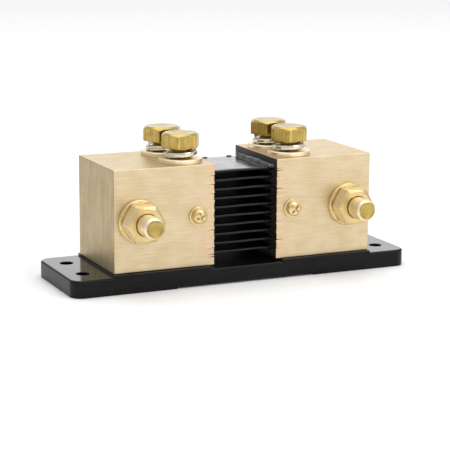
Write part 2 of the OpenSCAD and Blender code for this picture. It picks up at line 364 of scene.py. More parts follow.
def headed_brass(settings):
    """Cold-headed brass: a deep yellow shine with olive tarnish, lined by the dies on its sides."""
    made, tree = new_material("headed_brass", Metallic=1.0)
    # Die lines are about 0.1 mm wide; they are drawn at 0.4 mm so that they show.
    lines = streaks(tree, 0.4, 12, "Z", 2.0)
    normal = add_node(tree, "SeparateXYZ", {0: add_node(tree, "TexCoord").outputs["Normal"]}).outputs[2]
    facing = add_node(tree, "Math", {0: normal}, operation="ABSOLUTE").outputs[0]
    end_face = add_node(tree, "Math", {0: facing, 1: 0.6}, operation="GREATER_THAN").outputs[0]
    lines = add_node(tree, "Mix", {0: end_face, 2: lines, 3: 0.5}, data_type="FLOAT").outputs[0]
    patches = spots(tree, 3.5)
    tone = amount(tree, (lines, 0.35, 0.65, 0, 0.75), (patches, 0.4, 0.7, 0, 0.4))
    rough = amount(tree, (patches, *USUAL, 0.18, 0.3))
    return surface(made, settings.metal, settings.worn, tone, rough, lines, 0.03)


def pale_highlight_brass(settings):
    """Pale satin brass for the bolts' flat washers, the studs and the nuts' sides, nearly the tone of the
    ground bar.
    Its paleness is a painted highlight, standing in for the light that these faces catch."""
    made, tree = new_material("pale_highlight_brass", Metallic=1.0)
    return patterned(made, spots(tree, 1.8, 3.0), settings.pale, srgb("F3DFB6"), (0.35, 0.7, 0, 0.6),
                     (0.34, 0.48), 0.02)


def stamped_brass(settings):
    """Stamped brass sheet: smoother and paler than the headed pieces, with soft round scuffs."""
    made, tree = new_material("stamped_brass", Metallic=1.0)
    pale = between(settings.metal, settings.pale, 0.5)
    return patterned(made, spots(tree, 2.2, 3.0, 0.6), pale, settings.metal, (0.35, 0.7, 0, 0.55),
                     (0.24, 0.38), 0.03)


def turned_brass(settings):
    """Brass turned on a lathe: a clean shine with fine rings round the axis."""
    made, tree = new_material("turned_brass", Metallic=1.0)
    # Tool marks are about 0.1 mm apart; they are drawn at 0.45 mm so that they show.
    rings = streaks(tree, 60, 0.45, "Z", 1.0)
    tone = amount(tree, (spots(tree, 3.0), 0.4, 0.7, 0, 0.5))
    rough = amount(tree, (rings, *USUAL, 0.26, 0.4))
    pale = between(settings.metal, settings.pale, 0.3)
    return surface(made, pale, settings.metal, tone, rough, rings, 0.02)


def nickel_plated_steel(settings):
    """Spring steel with bright nickel plate: a near mirror, faintly warm, with a ripple from the coiling."""
    made, tree = new_material("nickel_plated_steel", Metallic=1.0)
    return patterned(made, spots(tree, 1.6), settings.nickel, srgb("B9B2A4"), (0.4, 0.8, 0, 0.5),
                     (0.08, 0.18), 0.03)


def zinc_plated_steel(settings):
    """Steel screws with clear zinc plate: a cool, cloudy grey."""
    made, tree = new_material("zinc_plated_steel", Metallic=1.0)
    return patterned(made, spots(tree, 1.8, 3.0), settings.zinc, srgb("8D9196"), (0.35, 0.7, 0, 1),
                     (0.28, 0.45), 0.02)


def dipped_lacquer(settings):
    """Black stoving lacquer, dipped over metal: glossy, with an orange-peel ripple and thin grey patches."""
    made, tree = new_material("dipped_lacquer", Specular_IOR_Level=0.6, Coat_Weight=0.6, Coat_Roughness=0.1)
    thin = spots(tree, 4.0, 3.0)
    tone = amount(tree, (thin, 0.5, 0.8, 0, 1))
    rough = amount(tree, (thin, *USUAL, 0.14, 0.26))
    return surface(made, settings.lacquer, srgb("2C2B29"), tone, rough, spots(tree, 1.4), 0.03)


def shade_black_lacquer(settings):
    """A flat, near-black painted shade of the same lacquer, on the strips' faces between one another, on the
    solder beads there and on the base beneath them, where the gaps lie in shade.
    """
    made, tree = new_material("shade_black_lacquer", Specular_IOR_Level=0.05)
    return patterned(made, spots(tree, 0.6, 3.0), srgb("040404"), srgb("0B0B0B"), (0.4, 0.8, 0, 1),
                     (0.55, 0.7), 0.03)


def sprayed_lacquer(settings):
    """The same lacquer sprayed on the blocks' inner faces and the strips' edges: thinner and duller, with
    upright runs."""
    made, tree = new_material("sprayed_lacquer", Specular_IOR_Level=0.3)
    return patterned(made, streaks(tree, 0.8, 9, "Z"), settings.lacquer, srgb("2A2926"), (0.35, 0.75, 0, 1),
                     (0.36, 0.52), 0.05)


def ground_solder(settings):
    """Hard solder in the slots, ground flush with the brass: a little pinker and duller than the bar."""
    made, tree = new_material("ground_solder", Metallic=1.0)
    return patterned(made, spots(tree, 0.8, 3.0), settings.metal, settings.tint, (0.4, 0.75, 0, 1),
                     (0.4, 0.6), 0.05)


def moulded_polyamide(settings):
    """Glass-filled polyamide from a fine-textured mould: black and half dull, with a faint flow pattern."""
    made, tree = new_material("moulded_polyamide", Specular_IOR_Level=0.16)
    # Mould texture is about 0.1 mm; it is drawn at 0.4 mm so that it shows.
    grain = spots(tree, 0.4)
    flow = streaks(tree, 5, 22, "X", 2.0)
    tone = amount(tree, (flow, 0.35, 0.7, 0, 1))
    rough = amount(tree, (flow, *USUAL, 0.2, 0.28), (grain, 0.4, 0.7, 0, 0.06))
    return surface(made, settings.plastic, srgb("151516"), tone, rough, grain, 0.006)


def polished_polyamide(settings):
    """The same polyamide on top of the base's ends, where the mould was polished: a soft black mirror."""
    made, tree = new_material("polished_polyamide", Coat_Weight=0.4, Coat_Roughness=0.1)
    return patterned(made, streaks(tree, 4, 16, "Y"), settings.plastic, srgb("1C1C1D"), (0.35, 0.7, 0, 1),
                     (0.12, 0.2), 0.01)


def white_card(settings):
    """Matt white card, with a barely visible fibre."""
    made, tree = new_material("white_card", Roughness=0.9)
    tone = amount(tree, (spots(tree, 3.0), 0.3, 0.7, 0, 0.25))
    colour = add_node(tree, "Mix", {0: tone, 6: settings.floor, 7: srgb("F4F4F4")}, data_type="RGBA")
    tree.links.new(colour.outputs[2], tree.nodes["Principled BSDF"].inputs["Base Color"])
    return made


def material(recipe, settings):
    """The material that a recipe makes, made once."""
    return bpy.data.materials.get(recipe.__name__) or recipe(settings)


LACQUERS = (dipped_lacquer, shade_black_lacquer, sprayed_lacquer)


# ---- Mesh tools ----


def ring(radius, z, count):
    """A circle of points round the Z axis, at one height."""
    turns = [2 * math.pi * i / count for i in range(count)]
    return [(radius * math.cos(t), radius * math.sin(t), z) for t in turns]


def thread_rings(low, high, radius, depth, pitch, count):
    """Rings that climb one pitch in a turn and follow a thread's crests and roots between two heights."""
    # How deep the thread is at equal steps along one pitch: crest, flank, root, flank.
    profile = (0, 0, 0.5, 1, 1, 0.5)
    steps = len(profile)
    rings = []
    for k in range(-steps, math.ceil((high - low) / pitch * steps) + 1):
        points = []
        for i in range(count):
            z = low + (k / steps + i / count) * pitch
            inside = low < z < high
            r = radius - depth * (profile[k % steps] if inside else 1)
            turn = 2 * math.pi * i / count
            points.append((r * math.cos(turn), r * math.sin(turn), min(max(z, low), high)))
        rings.append(points)
    return rings


def skin(rings, closed=False):
    """A mesh over rings with the same number of points, capped at both ends or closed into a loop."""
    bm = bmesh.new()
    rows = [[bm.verts.new(point) for point in points] for points in rings]
    pairs = list(zip(rows, rows[1:])) + ([(rows[-1], rows[0])] if closed else [])
    for low, high in pairs:
        for i in range(len(low)):
            j = (i + 1) % len(low)
            bm.faces.new((low[i], low[j], high[j], high[i]))
    if not closed:
        bm.faces.new(list(reversed(rows[0])))
        bm.faces.new(rows[-1])
    tidy(bm)
    return bm


def tidy(bm):
    """Welds doubled points, drops faces with no area and points the rest outwards."""
    bmesh.ops.remove_doubles(bm, verts=bm.verts, dist=WELD)
    bmesh.ops.dissolve_degenerate(bm, edges=bm.edges, dist=WELD)
    bmesh.ops.recalc_face_normals(bm, faces=bm.faces)


def round_edges(bm, size, angle=35, skip=lambda vert: False):
    """Rounds the edges that bend by more than an angle in degrees, except where an end is to be skipped."""
    limit = math.radians(angle)
    sharp = [e for e in bm.edges if len(e.link_faces) == 2 and e.calc_face_angle(0) > limit
             and not any(skip(v) for v in e.verts)]
    bmesh.ops.bevel(bm, geom=sharp, offset=size, offset_type="OFFSET", segments=2, profile=0.5,
                    affect="EDGES", clamp_overlap=False)


def from_node(node):
    """A CAD node's mesh in millimetres, with its flat faces whole again."""
    flat = math.radians(0.5)
    bm = bmesh.new()
    bm.from_mesh(frame["nodes"][node].data)
    bmesh.ops.scale(bm, vec=(1 / MM,) * 3, verts=bm.verts)
    bmesh.ops.remove_doubles(bm, verts=bm.verts, dist=CAD_WELD)
    bmesh.ops.dissolve_limit(bm, angle_limit=flat, verts=bm.verts, edges=bm.edges)
    bmesh.ops.recalc_face_normals(bm, faces=bm.faces)
    return bm


def merge(parts):
    """One mesh that holds several."""
    whole = bmesh.new()
    for part in parts:
        held = bpy.data.meshes.new("part")
        part.to_mesh(held)
        part.free()
        whole.from_mesh(held)
        bpy.data.meshes.remove(held)
    return whole


def cut_or_join(first, second, operation):
    """The exact union or difference of two closed meshes."""
    holders = []
    for bm in (first, second):
        mesh = bpy.data.meshes.new("operand")
        bm.to_mesh(mesh)
        bm.free()
        holder = bpy.data.objects.new("operand", mesh)
        bpy.context.scene.collection.objects.link(holder)
        holders.append(holder)
    modifier = holders[0].modifiers.new("cut", "BOOLEAN")
    modifier.object = holders[1]
    modifier.operation = operation
    modifier.solver = "EXACT"
    bpy.context.view_layer.update()
    evaluated = holders[0].evaluated_get(bpy.context.evaluated_depsgraph_get())
    result = bpy.data.meshes.new_from_object(evaluated)
    bm = bmesh.new()
    bm.from_mesh(result)
    for holder in holders:
        mesh = holder.data
        bpy.data.objects.remove(holder)
        bpy.data.meshes.remove(mesh)
    bpy.data.meshes.remove(result)
    if not bm.faces:
        raise RuntimeError("a cut or join left nothing")
    return bm


def to_mesh(name, bm, *materials):
    """A finished mesh in metres: smooth, with its sharp edges kept sharp."""
    mesh = bpy.data.meshes.new(name)
    bmesh.ops.scale(bm, vec=(MM,) * 3, verts=bm.verts)
    bm.to_mesh(mesh)
    bm.free()
    mesh.shade_smooth()
    mesh.set_sharp_from_angle(angle=SHARP)
    for one in materials:
        mesh.materials.append(one)
    return mesh


def place(name, mesh, node, slot, at=(0, 0, 0), turn=ON_TOP, even=True):
    """Shows a mesh in place of a CAD node, riding on that node's body. The place is in millimetres."""
    piece = bpy.data.objects.new(name, mesh)
    bpy.context.scene.collection.objects.link(piece)
    piece.location = Vector(at) * MM
    piece.rotation_euler = turn
    if even:
        piece.modifiers.new("even shading", "WEIGHTED_NORMAL").keep_sharp = True
    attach(piece, frame["nodes"][node]["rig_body"])
    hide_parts(node)
    return piece


# ---- Shapes ----


def hex_outline(flats, corner=0.35, arc=4, flat=5):
    """Points round a hexagon with its corners on the X axis, rounded by a small radius."""
    inner = (flats / 2 - corner) / math.cos(math.pi / 6)
    points = []
    for k in range(6):
        turn = k * math.pi / 3
        centre = Vector((inner * math.cos(turn), inner * math.sin(turn)))
        for i in range(arc + 1):
            at = turn + math.pi / 3 * (i / arc - 0.5)
            points.append(centre + corner * Vector((math.cos(at), math.sin(at))))
    full = []
    for i, point in enumerate(points):
        full.append(point)
        if i % (arc + 1) == arc:
            after = points[(i + 1) % len(points)]
            full += [point.lerp(after, j / flat) for j in range(1, flat)]
    return full


def hex_rings(outline, height, crown, both_ends):
    """Rings up the side of a hexagon. Its top, or both ends, are chamfered by a 30 degree cone down to the
    crown circle, and an end that isn't has a small bevel."""
    slope = math.tan(math.radians(30))
    bevel = 0.2

    def lifted(z_of, radius_of=lambda r: r):
        return [(*(p * (radius_of(p.length) / p.length)), z_of(p.length)) for p in outline]

    def drop(radius):
        return max(0.0, radius - crown) * slope

    if both_ends:
        start = [lifted(lambda r: 0, lambda r: crown), lifted(drop)]
    else:
        start = [lifted(lambda r: 0, lambda r: r - bevel), lifted(lambda r: bevel)]
    return start + [lifted(lambda r: height - drop(r)), lifted(lambda r: height, lambda r: crown)]


def bolt_shape(flats, height, shank_radius, shank_length, pitch, depth):
    """A hex bolt with its head on z = 0: the head is slightly hollow on top, and the shank is threaded."""
    crown = 0.88 * flats / 2
    hollow = ((crown * 0.8, height), (crown * 0.55, height - 0.12), (crown * 0.2, height - 0.15))
    outline = hex_outline(flats)
    count = len(outline)
    head = hex_rings(outline, height, crown, False)
    head += [[(*(p.normalized() * r), z) for p in outline] for r, z in hollow]
    tip_radius = shank_radius - depth - 0.2
    tip = shank_radius * 0.2
    shank = [ring(tip_radius, -shank_length, count)]
    shank += thread_rings(-shank_length + tip, -pitch, shank_radius, depth, pitch, count)
    shank += [ring(shank_radius, -pitch / 2, count), ring(shank_radius, height / 3, count)]
    head = skin(head)
    round_edges(head, 0.1, SOFT_BEND)
    return cut_or_join(head, skin(shank), "UNION")


def nut_shape(flats, height, bore):
    """A hex nut on z = 0, chamfered at both ends, with a countersunk bore."""
    crown = 0.9 * flats / 2
    outline = hex_outline(flats)
    sink = 0.25
    hole = ((bore + sink, height), (bore, height - sink), (bore, sink), (bore + sink, 0))
    inside = [[(*(p.normalized() * r), z) for p in outline] for r, z in hole]
    bm = skin(hex_rings(outline, height, crown, True) + inside, closed=True)
    round_edges(bm, 0.12, SOFT_BEND)
    return bm


def washer_shape(outer, inner, thickness, edge):
    """A stamped washer on z = 0: its upper rims are rounded and its lower ones are left sharper."""
    count = 96
    low = edge * 0.4
    burr = edge * 0.35
    profile = ((inner + edge, thickness), (inner, thickness - edge), (inner, low), (inner + low, 0),
               (outer - low, 0), (outer, low), (outer, thickness - edge), (outer - edge, thickness))
    bm = skin([ring(r, z, count) for r, z in profile], closed=True)
    round_edges(bm, burr, 30)
    return bm


def spring_shape(inner, width, thickness, lift, split):
    """A split spring washer on z = 0: one open turn of rounded bar that climbs by the lift."""
    steps, around = 72, 20
    squareness = 2.5  # 2 gives a round bar, and more a squarer one
    rings = []
    for k in range(steps + 1):
        share = k / steps
        turn = math.radians(split / 2 + (360 - split) * share)
        shrink = 0.9 if k in (0, steps) else 1
        points = []
        for i in range(around):
            a = 2 * math.pi * i / around
            c, s = math.cos(a), math.sin(a)
            flat = (abs(c) ** squareness + abs(s) ** squareness) ** (-1 / squareness)
            r = inner + width / 2 + width / 2 * c * flat * shrink
            z = thickness / 2 + lift * share + thickness / 2 * s * flat * shrink
            points.append((r * math.cos(turn), r * math.sin(turn), z))
        rings.append(points)
    return skin(rings)


def stud_shape(radius, reach, buried, groove_end, pitch, depth):
    """A stud with its seat on z = 0: threaded, with a groove that ends at the nut's face, and then plain up
    to a chamfered, dished end."""
    count = 64
    groove, tip = 2, 0.6
    rings = [ring(radius - depth - 0.3, -buried, count)]
    rings += thread_rings(-buried + tip, groove_end - groove, radius, depth, pitch, count)
    plain = ((radius - 0.3, groove_end - 0.15), (radius - 0.05, groove_end), (radius, groove_end + 0.12),
             (radius, reach - 0.95), (radius - 0.06, reach - 0.8), (radius - 0.75, reach - 0.08),
             (radius - 0.95, reach), (radius - 1.25, reach - 0.04), (radius - 1.5, reach - 0.28),
             (radius - 3, reach - 0.34))
    rings += [ring(r, z, count) for r, z in plain]
    return skin(rings)


def sense_screw_shape(head, height, shank_radius, shank_length, pitch):
    """A pan-head screw with its head on z = 0 and a cross recess."""
    count = 48
    cross = 0.35
    radius = head / 2
    profile = ((radius - 0.12, 0), (radius, 0.15), (radius, height * 0.42), (radius * 0.95, height * 0.68),
               (radius * 0.82, height * 0.88), (radius * 0.6, height * 0.98), (radius * 0.25, height))
    pan = skin([ring(r, z, count) for r, z in profile])
    depth = shank_radius * 0.2
    shank = [ring(shank_radius - 2 * depth, -shank_length, count)]
    shank += thread_rings(-shank_length + depth, -pitch, shank_radius, depth, pitch, count)
    shank += [ring(shank_radius, -pitch / 2, count), ring(shank_radius, height / 4, count)]
    screw = cut_or_join(pan, skin(shank), "UNION")
    for turn in (cross, cross + math.pi / 2):
        wing = recess_wing(radius * 0.6, radius * 0.14, height, turn)
        screw = cut_or_join(screw, wing, "DIFFERENCE")
    return screw


def recess_wing(length, width, height, turn):
    """One wing of a cross recess: it narrows and shortens towards its floor."""
    levels = ((0.55, 0.55, height * 0.6), (0.95, 0.95, height * 0.85), (1.1, 1.15, height * 1.1))
    rings = []
    for long, thick, z in levels:
        x, y = length * long, width * thick
        corners = ((x, y), (-x, y), (-x, -y), (x, -y))
        rings.append([(*(Matrix.Rotation(turn, 2) @ Vector(c)), z) for c in corners])
    return skin(rings)


def strip_shape(low, high, rounding, wave, free, rng):
    """A lacquered strip: flat where it sits in the blocks, and faintly wavy within the free distance of its
    middle."""
    stations, rows = 48, 12
    long_wave, short_wave, cross_wave = 3.4, 1.6, 7
    size = high - low
    across, thick = size.y / 2, size.z / 2
    middle = (low + high) / 2
    phase = [rng.uniform(0, 2 * math.pi) for _ in range(3)]
    lean = [rng.uniform(-1, 1) for _ in range(3)]
    outline = []
    for quarter, (sy, sz) in enumerate(((1, 1), (-1, 1), (-1, -1), (1, -1))):
        for i in range(4):
            a = math.pi / 2 * (quarter + i / 3)
            outline.append((sy * (across - rounding) + rounding * math.cos(a),
                            sz * (thick - rounding) + rounding * math.sin(a)))
        if quarter in (0, 2):
            outline += [(sy * (across - rounding) * (1 - 2 * j / rows), sz * thick) for j in range(1, rows)]
    rings = []
    for k in range(stations + 1):
        x = middle.x + size.x * (k / stations - 0.5)
        slack = max(0.0, 1 - (abs(x - middle.x) / free) ** 4)
        points = []
        for y, z in outline:
            rise = (math.sin(x / long_wave + phase[0] + 0.05 * y)
                    + 0.3 * math.sin(x / short_wave + phase[1])
                    + lean[0] + 0.6 * lean[1] * math.cos(y / cross_wave + phase[2]))
            points.append((x, middle.y + y, middle.z + z + wave * slack * rise * 0.6))
        rings.append(points)
    return skin(rings)


def bead_shape(face, sign, level, upward, reach, size, rng, shine):
    """A solder bead in the corner of a block's inner face and a strip, with a blob at its front end."""
    stations, around = 40, 6
    bulge = 0.9  # 1 gives a quarter of a circle, and less a fuller bead
    phase = [rng.uniform(0, 2 * math.pi) for _ in range(2)]
    blob = rng.uniform(1.05, 1.4)
    rings = []
    for k in range(stations + 1):
        share = k / stations
        y = -reach + 2 * reach * share
        swell = 1 + 0.12 * math.sin(9 * share + phase[0]) + 0.05 * math.sin(31 * share + phase[1])
        swell *= 1 + (blob - 1) * math.exp(-((share - 0.03) / 0.025) ** 2)
        ends = min(1.0, (min(share, 1 - share) * stations + 0.35) / 1.6)
        r = size * swell * math.sqrt(ends)
        points = [(face, y, level)]
        for i in range(around + 1):
            a = math.pi / 2 * i / around
            out, up = r * math.cos(a) ** bulge, r * math.sin(a) ** bulge
            points.append((face - sign * out, y, level + upward * up))
        rings.append(points)
    bm = skin(rings)
    # A bead that doesn't shine gets the second material, a black painted shade.
    for each in bm.faces:
        each.material_index = 0 if shine else 1
    return bm


def slot_filler(low, high, sign, gaps):
    """Solder that fills a slot's end. At the block's inner face it has shrunk from the slot's walls by the
    gaps, and is lacquered."""
    near, far = (low.x, high.x) if sign > 0 else (high.x, low.x)
    corners = [(near, low.z + gaps[0]), (far, low.z), (far, high.z), (near, high.z - gaps[1])]
    bm = skin([[(x, y, z) for x, z in corners] for y in (low.y, high.y)])
    for face in bm.faces:
        face.material_index = 1 if -sign * face.normal.x > 0.9 else 0
    return bm


def slot_ends(low, high, sign, face, edge, rng):
    """The fillers of both ends of a strip's slot. face and edge are the block's inner and back faces."""
    sunk, play, overlap = 0.04, 0.02, 0.1
    fillers = []
    for end in (-1, 1):
        gaps = [max(0.0, rng.uniform(-0.2, 0.38)) for _ in range(2)]
        outside = end * (edge - rng.uniform(0.005, 0.02))
        xs = sorted((face + sign * sunk, (high.x if sign > 0 else low.x) + sign * overlap))
        ys = sorted((outside, end * (high.y + play)))
        corners = [Vector(corner) for corner in zip(xs, ys, (low.z - overlap, high.z + overlap))]
        fillers.append(slot_filler(*corners, sign, gaps))
    return fillers


def lacquer_run(centre, width, height):
    """A small lens of lacquer that dried as it ran."""
    count = 20
    narrow = 0.7
    dome = ((0.9, -0.4), (1, 0), (0.92, 0.45), (0.7, 0.8), (0.35, 1))
    rings = [ring(width / 2 * r, height * share, count) for r, share in dome]
    bm = skin([[(x, y * narrow, z) for x, y, z in points] for points in rings])
    bmesh.ops.translate(bm, vec=centre, verts=bm.verts)
    return bm


# ---- Operators ----


class SHUNT_OT_base(bpy.types.Operator):
    """Moulded base with its feet, pads and holes"""
    bl_idname = "shunt.base"
    bl_label = "Base"

    def execute(self, context):
        settings = context.scene.shunt_base
        shortest = 0.15
        bm = from_node("base")
        # The small fillets are made of edges so short that a bevel on them would throw spikes.
        fine = {v for v in bm.verts if min(e.calc_length() for e in v.link_edges) < shortest}
        round_edges(bm, settings.edge / MM, skip=lambda vert: vert in fine)
        inner, outer = (corner.x for corner in box_mm("right_block"))
        for x in (-outer, -inner, inner, outer):
            whole = [*bm.verts, *bm.edges, *bm.faces]
            bmesh.ops.bisect_plane(bm, geom=whole, plane_co=(x, 0, 0), plane_no=(1, 0, 0))
        for face in bm.faces:
            x = abs(face.calc_center_median().x)
            zone = 1 if x > outer else 2 if x < inner else 0
            face.material_index = zone if face.normal.z > FACES_UP else 0
        finishes = [material(recipe, settings) for recipe in (moulded_polyamide, polished_polyamide)]
        # The base's top beneath the strips gets the black painted shade, standing in for the shade under the
        # stack.
        finishes.append(material(shade_black_lacquer, context.scene.shunt_strip))
        mesh = to_mesh("moulded_base", bm, *finishes)
        place("moulded_base", mesh, "base", "moulded_plastic")
        return {"FINISHED"}


class SHUNT_OT_base_screws(bpy.types.Operator):
    """Countersunk screws under the base"""
    bl_idname = "shunt.base_screws"
    bl_label = "Base screws"

    def execute(self, context):
        zinc = material(zinc_plated_steel, context.scene.shunt_fastener)
        for slot in frame["nodes"]["base_screws"].material_slots:
            slot.material = zinc
        return {"FINISHED"}


class SHUNT_OT_blocks(bpy.types.Operator):
    """Brass terminal blocks, lacquered on the faces that meet the strips"""
    bl_idname = "shunt.blocks"
    bl_label = "Terminal blocks"

    def execute(self, context):
        settings = context.scene.shunt_block
        brass = material(belt_ground_brass, settings)
        lacquer = material(sprayed_lacquer, context.scene.shunt_strip)
        # The slots lie this far behind the inner face, and this far from the block's top and bottom.
        shallow, deep, clear = 0.1, 3.3, 1
        # A face is lacquered if its middle is this near the inner face, or in a slot this far from its ends.
        near, within = 0.3, 0.5
        corner = 60  # degrees: rims are rounded, and the facets of holes aren't
        for side in SIDES:
            inner = inner_x(side)
            low, high = box_mm(f"{side}_block")

            def in_a_slot(point):
                return shallow < abs(point.x - inner) < deep and low.z + clear < point.z < high.z - clear

            bm = from_node(f"{side}_block")
            round_edges(bm, settings.edge / MM, corner, skip=lambda vert: in_a_slot(vert.co))
            for face in bm.faces:
                centre = face.calc_center_median()
                on_face = -side_sign(side) * face.normal.x > 0.5 and abs(centre.x - inner) < near
                inside = in_a_slot(centre) and abs(centre.y) < high.y - within
                face.material_index = 1 if on_face or inside else 0
            mesh = to_mesh(f"{side}_block", bm, brass, lacquer)
            place(f"{side}_terminal_block", mesh, f"{side}_block", "brass_block")
        return {"FINISHED"}


class SHUNT_OT_strips(bpy.types.Operator):
    """Stack of lacquered resistor strips"""
    bl_idname = "shunt.strips"
    bl_label = "Resistor strips"

    def execute(self, context):
        settings = context.scene.shunt_strip
        rng = random.Random(settings.seed)
        finishes = [material(recipe, settings) for recipe in LACQUERS]
        held = 0.3  # how far outside the blocks a strip is still flat
        free = inner_x("right") - held
        run_width, run_height, run_inset, run_places = 2.2, 0.45, 0.7, (-2.6, 7.4)
        for strip in STRIPS:
            on_top = strip == STRIPS[0]
            low, high = box_mm(strip)
            bm = strip_shape(low, high, settings.edge / MM, settings.wave / MM, free, rng)
            # The top strip's lit upper face gets the glossy lacquer, the other flat faces the black painted
            # shade of the gaps between strips, and the edges the sprayed lacquer.
            for face in bm.faces:
                lit = on_top and face.normal.z > 0.5
                face.material_index = 0 if lit else 1 if abs(face.normal.z) > FACES_UP else 2
            if on_top:
                runs = [lacquer_run(Vector((x, high.y - run_inset, high.z)), run_width, run_height)
                        for x in run_places]
                bm = merge([bm, *runs])
            place(f"resistor_{strip}", to_mesh(strip, bm, *finishes), strip, "strip_lacquer", even=False)
        return {"FINISHED"}


class SHUNT_OT_solder(bpy.types.Operator):
    """Solder beads along the strips, and the solder that fills the slots' ends"""
    bl_idname = "shunt.solder"
    bl_label = "Solder"

    def execute(self, context):
        settings = context.scene.shunt_strip
        rng = random.Random(settings.seed + 1)
        dipped, shade_black, sprayed = (material(recipe, settings) for recipe in LACQUERS)
        ground = material(ground_solder, context.scene.shunt_block)
        top_swell, other_swell, top_inset = 1.6, 0.8, 1.9
        for side in SIDES:
            sign, face = side_sign(side), inner_x(side)
            edge = box_mm(f"{side}_block")[1].y
            beads, fillers = [], []
            for strip in STRIPS:
                low, high = box_mm(strip)
                for level, upward in ((high.z, 1), (low.z, -1)):
                    on_top = strip == STRIPS[0] and upward > 0
                    swell, reach = (top_swell, edge - top_inset) if on_top else (other_swell, high.y)
                    size = settings.bead / MM * rng.uniform(0.8, 1.0) * swell
                    beads.append(bead_shape(face, sign, level, upward, reach, size, rng, on_top))
                fillers += slot_ends(low, high, sign, face, edge, rng)
            # Beads other than the top strip's upper one get the black painted shade of the gaps between
            # strips.
            mesh = to_mesh(f"{side}_beads", merge(beads), dipped, shade_black)
            place(f"{side}_solder_beads", mesh, f"{side}_solder", "solder", even=False)
            mesh = to_mesh(f"{side}_slot_fillers", merge(fillers), ground, sprayed)
            place(f"{side}_slot_fillers", mesh, f"{side}_solder", "solder")
        return {"FINISHED"}


class SHUNT_OT_bolts(bpy.types.Operator):
    """Hex terminal bolts"""
    bl_idname = "shunt.bolts"
    bl_label = "Terminal bolts"

    def execute(self, context):
        settings = context.scene.shunt_fastener
        low, high = box_mm("left_front_bolt")
        seat = box_mm("left_front_spring_washer")[1].z
        bm = bolt_shape(high.y - low.y, high.z - seat, size_mm("left_stud").x / 2, seat - low.z,
                        settings.coarse_pitch / MM, settings.thread_depth / MM)
        mesh = to_mesh("hex_bolt", bm, material(headed_brass, settings))
        askew = {"right_front": 5}  # degrees by which a head is off square
        for bolt in BOLTS:
            x, y, _ = centre_mm(f"{bolt}_bolt")
            turn = Euler((0, 0, math.radians(askew.get(bolt, 0))))
            place(f"{bolt}_hex_bolt", mesh, f"{bolt}_bolt", "brass_hardware", (x, y, seat), turn)
        return {"FINISHED"}


class SHUNT_OT_bolt_washers(bpy.types.Operator):
    """Flat washers and split spring washers under the bolts"""
    bl_idname = "shunt.bolt_washers"
    bl_label = "Bolt washers"

    def execute(self, context):
        settings = context.scene.shunt_fastener
        bar_width, bar_height, hole, split = 2.0, 2.1, 4.2, 14
        size = size_mm("left_front_flat_washer")
        bm = washer_shape(size.x / 2, hole, size.z, settings.edge / MM)
        # The flat washers' pale brass is a painted highlight.
        flat = to_mesh("flat_washer", bm, material(pale_highlight_brass, settings))
        lift = size_mm("left_front_spring_washer").z - bar_height
        bm = spring_shape(hole, bar_width, bar_height, lift, split)
        coil = to_mesh("spring_washer", bm, material(nickel_plated_steel, settings))
        turn = Euler((0, 0, math.radians(135)))  # the splits stand at the back left
        for bolt in BOLTS:
            x, y, _ = centre_mm(f"{bolt}_flat_washer")
            node = f"{bolt}_flat_washer"
            place(f"{bolt}_stamped_washer", flat, node, "brass_hardware", (x, y, box_mm(node)[0].z))
            node = f"{bolt}_spring_washer"
            seat = box_mm(node)[0].z
            place(f"{bolt}_split_washer", coil, node, "nickel_plate", (x, y, seat), turn, even=False)
        return {"FINISHED"}


class SHUNT_OT_studs(bpy.types.Operator):
    """Studs on the blocks' front faces, with their nuts and washers"""
    bl_idname = "shunt.studs"
    bl_label = "Studs and nuts"

    def execute(self, context):
        settings = context.scene.shunt_fastener
        pale_highlight = material(pale_highlight_brass, settings)
        face = box_mm("left_block")[0].y
        low, high = box_mm("left_stud")
        radius = (high.x - low.x) / 2
        groove_show, thread_play = 0.2, 0.05
        groove_end = face - box_mm("left_nut")[0].y + groove_show
        bm = stud_shape(radius, face - low.y, high.y - face, groove_end, settings.coarse_pitch / MM,
                        settings.thread_depth / MM)
        # The stud's side gets the pale brass as a painted highlight, and its dished end the deeper headed
        # brass.
        for facet in bm.faces:
            facet.material_index = 1 if facet.normal.z > 0.7 and facet.calc_center_median().z > 0 else 0
        stud = to_mesh("stud", bm, pale_highlight, material(headed_brass, settings))
        size = size_mm("left_nut")
        bm = nut_shape(size.z, size.y, radius + thread_play)
        # The nut's flats get the pale brass as a painted highlight, and its ends the deeper turned brass.
        for facet in bm.faces:
            facet.material_index = 1 if abs(facet.normal.z) < 0.3 else 0
        nut = to_mesh("hex_nut", bm, material(turned_brass, settings), pale_highlight)
        size = size_mm("left_nut_washer")
        bm = washer_shape(size.x / 2, radius + HOLE_PLAY, size.y, settings.edge / MM)
        washer = to_mesh("nut_washer", bm, material(stamped_brass, settings))
        for side in SIDES:
            x, _, z = centre_mm(f"{side}_stud")
            seat = box_mm(f"{side}_nut")[1].y
            for name, mesh, node, y in (
                ("plain_stud", stud, "stud", face),
                ("stud_washer", washer, "nut_washer", face),
                ("hex_nut", nut, "nut", seat),
            ):
                place(f"{side}_{name}", mesh, f"{side}_{node}", "brass_hardware", (x, y, z), ON_FRONT)
        return {"FINISHED"}


